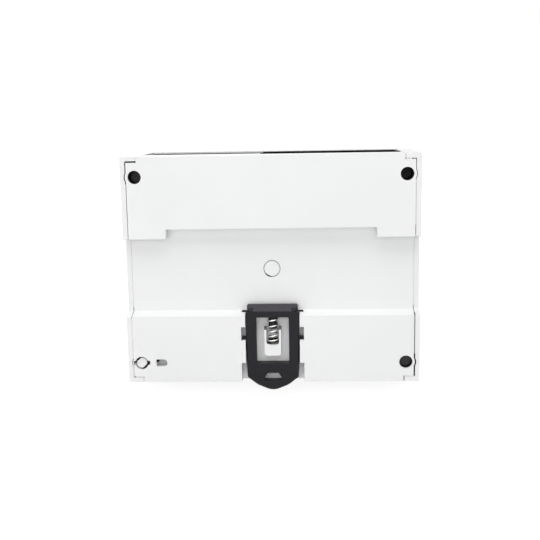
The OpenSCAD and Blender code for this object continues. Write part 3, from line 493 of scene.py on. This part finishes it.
def arc_pad(place, middle, half, inside, outside, y0, y1):
    """Four-sided section between two radii and two depths, carried round an axis along Y
    over an arc given in degrees by its middle and its half. It thins out to both ends as
    the root of a sine.
    """
    steps = 25
    turn = np.radians(np.linspace(middle - half, middle + half, steps))
    full = np.sin(np.linspace(0.12, np.pi - 0.12, steps)) ** 0.5
    r = np.stack([outside - (outside - inside) * full, np.full(steps, outside)], axis=-1)
    r = r[:, [0, 1, 1, 0]]
    y = np.broadcast_to(np.array([y0, y0, y1, y1]), r.shape)
    return np.stack([place[0] + r * np.cos(turn)[:, None], y,
                     place[1] + r * np.sin(turn)[:, None]], axis=-1)


WELL = (55.6, 39.2)
PLUG = (WELL[0], -WELL[1])
PLUG_FACE = 5.2
PLUG_FOOT = 2.95
PLUG_R = 2.2
SCALLOPS = (50.0, 228.0)
SCALLOP_DEPTH = 0.15
PAD_R = (1.85, 2.47)
PAD_Y = (3.1, 5.1)
profile = [(0.0, PLUG_FOOT), (PLUG_R - 0.1, PLUG_FOOT), (PLUG_R, PLUG_FOOT + 0.1),
           (PLUG_R, PLUG_FACE - 0.3), (PLUG_R - 0.05, PLUG_FACE - 0.12),
           (PLUG_R - 0.18, PLUG_FACE - 0.03), (PLUG_R - 0.35, PLUG_FACE),
           (1.5, PLUG_FACE - 0.04), (1.35, PLUG_FACE - 0.14), (0.9, PLUG_FACE - 0.2),
           (0.0, PLUG_FACE - 0.22)]
profile = [(max(r, 0.02), y) for r, y in profile]
# The two ears lie level in their slots, and a pad fills each scallop from below; both are
# black as a painted shade.
plug_disc = turned(PLUG, profile, SCALLOPS, SCALLOP_DEPTH)
plug_black = [bar((PLUG[0] + 2.0, 3.62, PLUG[1] - 0.15), (PLUG[0] + 3.25, 4.7, PLUG[1] + 0.3),
                  0.15),
              bar((PLUG[0] - 3.25, 3.62, PLUG[1] - 0.5), (PLUG[0] - 1.9, 4.9, PLUG[1] + 0.6),
                  0.2),
              arc_pad(PLUG, 52.0, 26.0, *PAD_R, *PAD_Y),
              arc_pad(PLUG, 226.0, 42.0, *PAD_R, *PAD_Y)]
# Near-black material of pieces that stand in for shade: painted shade in deep slots, wells,
# seams and a groove.
painted_shade_black = moulded("painted_shade_black", (0.012, 0.012, 0.012), 0.8, grain=0.02, speck=0.4,
                       shine=0.1)
put("twist_plug", skinned([plug_disc]), "housing", "plug_white",
    moulded("white_plug", (0.82, 0.825, 0.82), 0.45), "sealing_plug")
put("plug_shade", skinned(plug_black), "housing", "terminal_black",
    painted_shade_black, "sealing_plug")


# ---- Cradle tips --------------------------------------------------------------------
# Dark grey tips on the two arms of the spring's cradle: a painted shade over the arms' tops.
TIP_LEFTS = (-3.62, 2.57)
TIP_WIDTH = 1.05
TIP_Y = (1.0, 4.68)
TIP_Z = (-25.3, -24.55)
tips = [bar((left, TIP_Y[0], TIP_Z[0]), (left + TIP_WIDTH, TIP_Y[1], TIP_Z[1]), 0.12)
        for left in TIP_LEFTS]
put("cradle_tips", skinned(tips), "housing", "terminal_black",
    moulded("tip_shade_grey", (0.16, 0.16, 0.16), 0.6, grain=0.01, shine=0.2))


# ---- Well sleeves -------------------------------------------------------------------
# Black sleeves that line the three open screw wells: a painted shade for their deep insides.
# Their rounded lips lie just below the rims.

SLEEVE_PLACES = [(-WELL[0], -WELL[1]), (-WELL[0], WELL[1]), WELL]
SLEEVE_Y = (-10.3, 4.4)
SLEEVE_R = (2.5, 2.74)


def tube(place, y0, y1, inside, outside):
    """Ring-shaped section carried round an axis along Y: up its outside, over a rounded
    lip, down its inside and back under its foot.
    """
    lip = (outside - inside) / 2
    arc = np.linspace(0.0, np.pi, 7)
    middle = (inside + outside) / 2
    ring = [(outside, y0)] + [(middle + lip * np.cos(a), y1 - lip + lip * np.sin(a))
                              for a in arc] + [(inside, y0)]
    return turned(place, ring, around=48)


shade_sleeves = skinned([tube(place, *SLEEVE_Y, *SLEEVE_R) for place in SLEEVE_PLACES],
                  closed=True)
put("well_shade", shade_sleeves, "housing", "terminal_black", painted_shade_black)


# ---- Well bungs ---------------------------------------------------------------------
# Soft rubber bungs that cover the case screws after assembly. They are pressed into the
# sleeves by hand, so each lies at its own depth.
BUNG_FOOT = -7.5
BUNG_TOPS = (2.6, -3.0, 0.6)
bungs = skinned([turned(place, [(0.02, BUNG_FOOT), (2.3, BUNG_FOOT), (2.49, BUNG_FOOT + 0.2),
                                (2.49, y - 0.3), (2.3, y - 0.05), (2.0, y), (1.6, y - 0.06),
                                (0.02, y - 0.15)], around=48)
                 for place, y in zip(SLEEVE_PLACES, BUNG_TOPS)])
put("well_bungs", bungs, "housing", "terminal_black",
    moulded("bung_rubber", (0.065, 0.065, 0.065), 0.7, grain=0.02, speck=0.2, shine=0.2))


# ---- Seam seals and seam shade ------------------------------------------------------
# Foam lips in the seams round the rear base where the two mouldings close, and black strips
# where they stand apart, a painted shade in the seams. A black bar in the D-shaped pocket
# paints shade along its flat side.

WELL_TUBE = 3.84
BASE_HALF = 59.0
SEAM = (0.01, 0.24)
CORNER_SEAM = (45.16, 45.49)
TICK_SEAM = (54.71, 55.04)
SEAL_FOOT = 1.0


def side_seal(side, z0, z1, y1, y0=SEAL_FOOT, gap=SEAM):
    """Four-sided section carried up the seam on one side, 1 or -1, from z0 to z1. It lies
    between two distances from the edge of the base, and between the depths y0 and y1. That
    edge is the larger of half the base's width, and the well's distance plus the root of
    (tube radius squared less height over the well squared), which is the tube's circle.
    """
    z = np.linspace(z0, z1, 60)
    swell = WELL[0] + np.sqrt(np.clip(WELL_TUBE ** 2 - (np.abs(z) - WELL[1]) ** 2, 0, None))
    edge = np.maximum(BASE_HALF, swell)
    x = np.stack([edge + gap[0], edge + gap[1]], axis=-1)[:, [0, 1, 1, 0]]
    y = np.broadcast_to(np.array([y0, y0, y1, y1]), x.shape)
    return np.stack([side * x, y, np.broadcast_to(z[:, None], x.shape)], axis=-1)


def corner_seal(x0, x1, z, y1):
    """Level bar from x0 to x1 between two heights, out to the depth y1."""
    return bar((x0, SEAL_FOOT, z[0]), (x1, y1, z[1]), 0.03, steps=3)


def tick_seal(x, z0, z1, y1):
    """The same bar with X and Z exchanged, so that it runs upright from z0 to z1."""
    return bar((z0, SEAL_FOOT, x[0]), (z1, y1, x[1]), 0.03, steps=3)[..., ::-1]


low_corner = (-CORNER_SEAM[1], -CORNER_SEAM[0])
right_tick = (-TICK_SEAM[1], -TICK_SEAM[0])
END = BASE_HALF + SEAM[1]
PROUD = 5.53
# Seen from the rear, side 1 is the left. A side seal runs between two heights, and the last
# number of every seal is the depth of its outer face.
seam_shade_strips = [corner_seal(TICK_SEAM[0], END, (45.24, 45.8), PROUD),
               side_seal(1, 36.5, 45.3, PROUD, gap=(0.08, 0.4)),
               corner_seal(-END, -57.6, CORNER_SEAM, 5.3),
               side_seal(-1, 44.4, 45.2, 5.4), side_seal(-1, 37.4, 40.9, 4.9),
               side_seal(-1, -45.3, -35.6, PROUD, gap=(-0.14, 0.42)),
               side_seal(-1, -36.0, -18.5, PROUD, gap=(-0.02, 0.27)),
               tick_seal(right_tick, -47.3, -45.2, 5.47),
               corner_seal(58.5, END, low_corner, 5.2),
               bar((48.6, SEAL_FOOT, -38.95), (49.3, 4.9, -37.75), 0.12)]
white_seals = [tick_seal(TICK_SEAM, 45.55, 47.4, 5.4), side_seal(-1, 18.5, 37.0, 5.2),
               corner_seal(54.8, END, (45.16, 45.3), 5.4),
               tick_seal(right_tick, 45.55, 47.4, 5.1),
               corner_seal(-57.4, -55.1, CORNER_SEAM, 5.3),
               side_seal(1, -37.2, -20.0, 5.42), side_seal(1, -45.2, -41.2, 5.1),
               corner_seal(55.1, 58.3, low_corner, 5.2),
               tick_seal(TICK_SEAM, -47.3, -45.6, 5.2),
               corner_seal(-END, -55.1, low_corner, 5.35)]
white_seals += [side_seal(side, -16.0, 14.0, -0.03, y0=-4.0) for side in (-1, 1)]
# Black strips: painted shade in the seams and in the pocket.
put("seam_shade", skinned(seam_shade_strips), "housing", "terminal_black", painted_shade_black)
put("seam_lips", skinned(white_seals), "housing", "base_white",
    moulded("white_foam", (0.84, 0.845, 0.845), 0.6, grain=0.004, shine=0.2))


# ---- Mark ring ----------------------------------------------------------------------
# Dark line in the groove round the blanking disc in the middle of the rear: a painted shade,
# widest on one side.

RING_R = (3.40, 3.52)
RING_SWELL = (0.30, 0.12)
SWELL_ANGLE = -60.0


def mark_ring():
    """Four-sided section between two radii carried round an axis along Y. The section is
    thin, and swells inward and outward round one angle, by e to the power of minus the
    fourth power of the way from it.
    """
    turn = np.linspace(0.0, 2 * np.pi, 96, endpoint=False)
    off = (turn - math.radians(SWELL_ANGLE) + np.pi) % (2 * np.pi) - np.pi
    bell = np.exp(-(off / 0.42) ** 4)
    r = np.stack([RING_R[0] - RING_SWELL[0] * bell, RING_R[1] + RING_SWELL[1] * bell],
                 axis=-1)[:, [0, 1, 1, 0]]
    y = np.broadcast_to(np.array([-0.18, -0.18, 0.03, 0.03]), r.shape)
    return np.stack([r * np.cos(turn)[:, None], y, r * np.sin(turn)[:, None]], axis=-1)


put("mark_ring", skinned([mark_ring()], closed=True), "housing", "terminal_black",
    painted_shade_black)


# ---- Block rails --------------------------------------------------------------------
# Ribs of the main terminal block that close the slots between its ways at the rear and at
# the front, and a thin rubber lip that keeps dust out where it meets the rear base.
RAIL_X = (-54.1, 4.5)
rails = [bar((RAIL_X[0], y0, z0), (RAIL_X[1], y1, z1), corner) for y0, y1, z0, z1, corner in
         ((-14.2, -12.6, 46.2, 47.2, 0.1), (-39.9, -39.1, 46.0, 47.2, 0.1),
          (-12.6, -7.2, 47.3, 47.56, 0.08))]
put("block_rails", skinned(rails), "housing", "terminal_black", terminal_moulding)


# ---- Screws, cages and bars ---------------------------------------------------------
# Steel screws and cages with a zinc finish and tinned bars. The case screws are painted near
# black as shade at the bottom of their wells, and sit so deep in them that little light
# reaches them.

def plated(name, colour, roughness, streak=(1.0, 1.0, 1.0)):
    """Metal with fine drawn or rolled streaks and a slow drift in gloss."""
    mat = bpy.data.materials.new(name)
    add = node_tree(mat)
    place = add("TexCoord").outputs["Object"]
    along = add("Mapping", Vector=place, Scale=streak)
    line = add("TexNoise", Vector=along.outputs[0], Scale=1500.0, Detail=3.0)
    drift = add("TexNoise", Vector=place, Scale=180.0, Detail=2.0)
    shade = add("MapRange", drift.outputs[0], 0.3, 0.7, 0.88, 1.06)
    tint = add("VectorMath", tuple(colour), settings={"operation": "SCALE"},
               Scale=shade.outputs[0])
    gloss = add("MapRange", line.outputs[0], 0.3, 0.7, roughness - 0.06, roughness + 0.08)
    soft = add("Bevel", Radius=0.08 * MM, settings={"samples": 4})
    bump = add("Bump", Strength=0.4, Distance=0.004 * MM, Height=line.outputs[0],
               Normal=soft.outputs[0])
    skin = add("BsdfPrincipled", Base_Color=tint.outputs[0], Metallic=1.0,
               Roughness=gloss.outputs[0], Normal=bump.outputs[0])
    add("OutputMaterial", skin.outputs[0])
    return mat


wear(plated("shade_dark_steel", (0.12, 0.12, 0.12), 0.5), "case_screws")
wear(plated("zinc_plating", (0.62, 0.62, 0.60), 0.34), "cover_screws", "board_screws",
     "clamp_screws_top", "clamp_screws_bottom", "aux_screws_top",
     "aux_screws_bottom")
wear(plated("zinc_cage", (0.60, 0.59, 0.54), 0.38), *[
    f"cage_{side}_{way}" for side in ("top", "bottom") for way in (1, 2, 3, 4)])
wear(plated("tinned_bar", (0.72, 0.62, 0.50), 0.30, (1.0, 1.0, 0.05)), *[
    f"busbar_{way}" for way in (1, 2, 3, 4)])


# ---- Display ------------------------------------------------------------------------
# Reflective liquid-crystal cell in a pale tray behind a clear window. Its seven-segment
# digits are thin dark films, and those that are switched off still show a little.
wear(moulded("display_tray", (0.78, 0.78, 0.76), 0.5), "display_frame")
wear(moulded("liquid_crystal", (0.40, 0.46, 0.36), 0.22, grain=0.002, mottle=0.04),
     "display_glass")

DIGIT_H = 10.0
DIGIT_W = 5.2
DIGIT_PITCH = 7.2
SEGMENT = 1.1
READING = "0048213"
LIT = {"0": "abcdef", "1": "bc", "2": "abged", "3": "abgcd", "4": "fgbc", "8": "abcdefg"}
ENDS = {"a": (0, 1, 1, 1), "b": (1, 0.5, 1, 1), "c": (1, 0, 1, 0.5), "d": (0, 0, 1, 0),
        "e": (0, 0, 0, 0.5), "f": (0, 0.5, 0, 1), "g": (0, 0.5, 1, 0.5)}


def segment(letter, left, foot, y0, y1):
    """Six-cornered bar with pointed ends between two corners of a digit, leaning to the
    right by a tenth of its height, carried from y0 to y1.
    """
    x0, z0, x1, z1 = ENDS[letter]
    a = np.array([left + x0 * DIGIT_W, foot + z0 * DIGIT_H])
    b = np.array([left + x1 * DIGIT_W, foot + z1 * DIGIT_H])
    along = (b - a) / np.linalg.norm(b - a)
    across = np.array([-along[1], along[0]]) * SEGMENT / 2
    a, b = a + along * 0.15, b - along * 0.15
    tip = along * SEGMENT / 2
    flat = np.array([a, a + tip + across, b - tip + across, b, b - tip - across,
                     a + tip - across])
    flat[:, 0] += 0.1 * (flat[:, 1] - foot)
    return np.stack([np.column_stack([flat[:, 0], np.full(6, y), flat[:, 1]])
                     for y in (y0, y1)])


cell_low, cell_high = [np.array(c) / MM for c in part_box("display_glass")]
cell_mid = (cell_low + cell_high) / 2
first = cell_mid[0] - DIGIT_PITCH * (len(READING) - 1) / 2 - DIGIT_W / 2
film_y = (cell_low[1] - 0.06, cell_low[1] - 0.02)
on, off = [], []
for count, digit in enumerate(READING):
    for letter in ENDS:
        (on if letter in LIT[digit] else off).append(segment(
            letter, first + count * DIGIT_PITCH, cell_mid[2] - DIGIT_H / 2, *film_y))
put("display_digits", skinned(on), "housing", "switch_black",
    moulded("segment_on", (0.03, 0.035, 0.03), 0.3, grain=0.0))
put("display_digits_off", skinned(off), "housing", "display_green",
    moulded("segment_off", (0.34, 0.40, 0.31), 0.25, grain=0.0))


# ---- Button and pulse lamps ---------------------------------------------------------
# Grey moulded button with a dished top that a finger finds, caught by its flange behind
# the front and carried by a switch on the board, and two red lamps moulded in resin.
BUTTON = (41.0, 0.0)
button_low, button_high = [np.array(c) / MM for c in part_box("scroll_button")]
front = button_low[1]
back = button_high[1]
cap = turned(BUTTON, [(0.02, front + 0.55), (1.2, front + 0.5), (2.2, front + 0.32),
                      (2.8, front + 0.1), (3.05, front + 0.01), (3.25, front + 0.03),
                      (3.42, front + 0.15), (3.49, front + 0.35), (3.5, front + 0.6),
                      (3.5, back - 4.0), (4.45, back - 3.95), (4.5, back - 3.0),
                      (1.6, back - 2.9), (1.55, back - 0.05), (0.02, back)], around=96)
put("dished_button", skinned([cap]), "button", "button_grey",
    moulded("grey_button", (0.16, 0.17, 0.18), 0.5, grain=0.015, mottle=0.05),
    "scroll_button")
black_case = moulded("switch_body", (0.03, 0.03, 0.03), 0.5)
wear(black_case, "button_switch")
wear(moulded("lamp_resin", (0.45, 0.02, 0.015), 0.2, grain=0.0), "pulse_lamp_active",
     "pulse_lamp_reactive")


# ---- Clear window -------------------------------------------------------------------
# Polished polycarbonate pane that is snapped into the nose from the front. Handling has
# left it with a slight haze.
pane = bpy.data.materials.new("clear_window")
add = node_tree(pane)
place = add("TexCoord").outputs["Object"]
haze = add("TexNoise", Vector=place, Scale=60.0, Detail=2.0)
gloss = add("MapRange", haze.outputs[0], 0.3, 0.7, 0.02, 0.06)
skin = add("BsdfPrincipled", Base_Color=(0.94, 0.96, 0.95, 1.0), IOR=1.58,
           Roughness=gloss.outputs[0], Transmission_Weight=1.0)
add("OutputMaterial", skin.outputs[0])
wear(pane, "display_window")


# ---- Circuit boards -----------------------------------------------------------------
# Glass-fibre boards under green lacquer. The copper tracks run in rows under the lacquer
# and stand a little proud, with tinned dots where they pass through the board. The chip
# and the link between the boards are soldered on, in black cases.

def lacquered(name, colour, track, dot):
    """Board material: rows of tracks from a brick pattern, and dots from cell centres."""
    mat = bpy.data.materials.new(name)
    add = node_tree(mat)
    place = add("TexCoord").outputs["Object"]
    flat = add("Mapping", Vector=place, Rotation=(math.radians(90), 0.0, 0.0))
    rows = add("TexBrick", Vector=flat.outputs[0], Scale=260.0, Mortar_Size=0.035,
               Color1=(0.0, 0.0, 0.0, 1.0), Color2=(0.0, 0.0, 0.0, 1.0),
               Mortar=(1.0, 1.0, 1.0, 1.0), Bias=0.0)
    cells = add("TexVoronoi", Vector=place, Scale=260.0)
    spot = add("Math", cells.outputs["Distance"], 0.13, settings={"operation": "LESS_THAN"})
    drift = add("TexNoise", Vector=place, Scale=70.0, Detail=2.0)
    shade = add("MapRange", drift.outputs[0], 0.3, 0.7, 0.9, 1.08)
    ground = add("Mix", rows.outputs[0], None, None, None, None, None,
                 (*colour, 1.0), (*track, 1.0), settings={"data_type": "RGBA"})
    tint = add("VectorMath", ground.outputs[2],
               settings={"operation": "SCALE"}, Scale=shade.outputs[0])
    done = add("Mix", spot.outputs[0], None, None, None, None, None, tint.outputs[0],
               (*dot, 1.0), settings={"data_type": "RGBA"})
    gloss = add("MapRange", drift.outputs[0], 0.3, 0.7, 0.24, 0.36)
    lift = add("Bump", Strength=0.6, Distance=0.03 * MM, Height=rows.outputs[0])
    skin = add("BsdfPrincipled", Base_Color=done.outputs[2], Roughness=gloss.outputs[0],
               Metallic=spot.outputs[0], Normal=lift.outputs[0])
    add("OutputMaterial", skin.outputs[0])
    return mat


wear(lacquered("green_board", (0.012, 0.10, 0.045), (0.03, 0.19, 0.07), (0.6, 0.58, 0.52)),
     "display_board", "main_board")
wear(black_case, "board_link", "metering_chip")


# ---- Transformers and capacitors ----------------------------------------------------
# Laminated supply transformer, ring cores cast in blue resin, a film capacitor dipped in
# red, an electrolytic capacitor in a printed sleeve and three blue discs.

def banded(name, first, second, pitch, axis, roughness, share=0.5, grain=0.01):
    """Two colours in bands across one axis, as in laminations or a printed stripe.

    pitch is in millimetres, axis is 0, 1 or 2, and share is the part of the first colour.
    """
    mat = bpy.data.materials.new(name)
    add = node_tree(mat)
    place = add("TexCoord").outputs["Object"]
    part = add("SeparateXYZ", place)
    count = add("Math", part.outputs[axis], 1.0 / (pitch * MM),
                settings={"operation": "MULTIPLY"})
    phase = add("Math", count.outputs[0], settings={"operation": "FRACT"})
    band = add("Math", phase.outputs[0], share, settings={"operation": "GREATER_THAN"})
    drift = add("TexNoise", Vector=place, Scale=240.0, Detail=3.0)
    shade = add("MapRange", drift.outputs[0], 0.3, 0.7, 0.85, 1.08)
    pick = add("Mix", band.outputs[0], None, None, None, None, None, (*first, 1.0),
               (*second, 1.0), settings={"data_type": "RGBA"})
    tint = add("VectorMath", pick.outputs[2], settings={"operation": "SCALE"},
               Scale=shade.outputs[0])
    gloss = add("MapRange", drift.outputs[0], 0.3, 0.7, roughness - 0.05, roughness + 0.07)
    lift = add("Bump", Strength=0.4, Distance=grain * MM, Height=band.outputs[0])
    skin = add("BsdfPrincipled", Base_Color=tint.outputs[0], Roughness=gloss.outputs[0],
               Normal=lift.outputs[0])
    add("OutputMaterial", skin.outputs[0])
    return mat


wear(banded("laminated_core", (0.16, 0.13, 0.10), (0.06, 0.05, 0.045), 0.5, 0, 0.4,
            grain=0.05), "supply_transformer")
wear(banded("printed_sleeve", (0.02, 0.03, 0.10), (0.45, 0.46, 0.50), 9.0, 2, 0.3,
            share=0.82), "storage_capacitor")
wear(moulded("red_dip", (0.35, 0.04, 0.03), 0.25, grain=0.03, mottle=0.12), "filter_capacitor")
wear(moulded("blue_disc", (0.02, 0.08, 0.32), 0.35, grain=0.03, mottle=0.12), "varistor_1",
     "varistor_2", "varistor_3")
wear(moulded("cast_resin", (0.03, 0.08, 0.20), 0.3, mottle=0.1), "current_transformer_1",
     "current_transformer_2", "current_transformer_3")
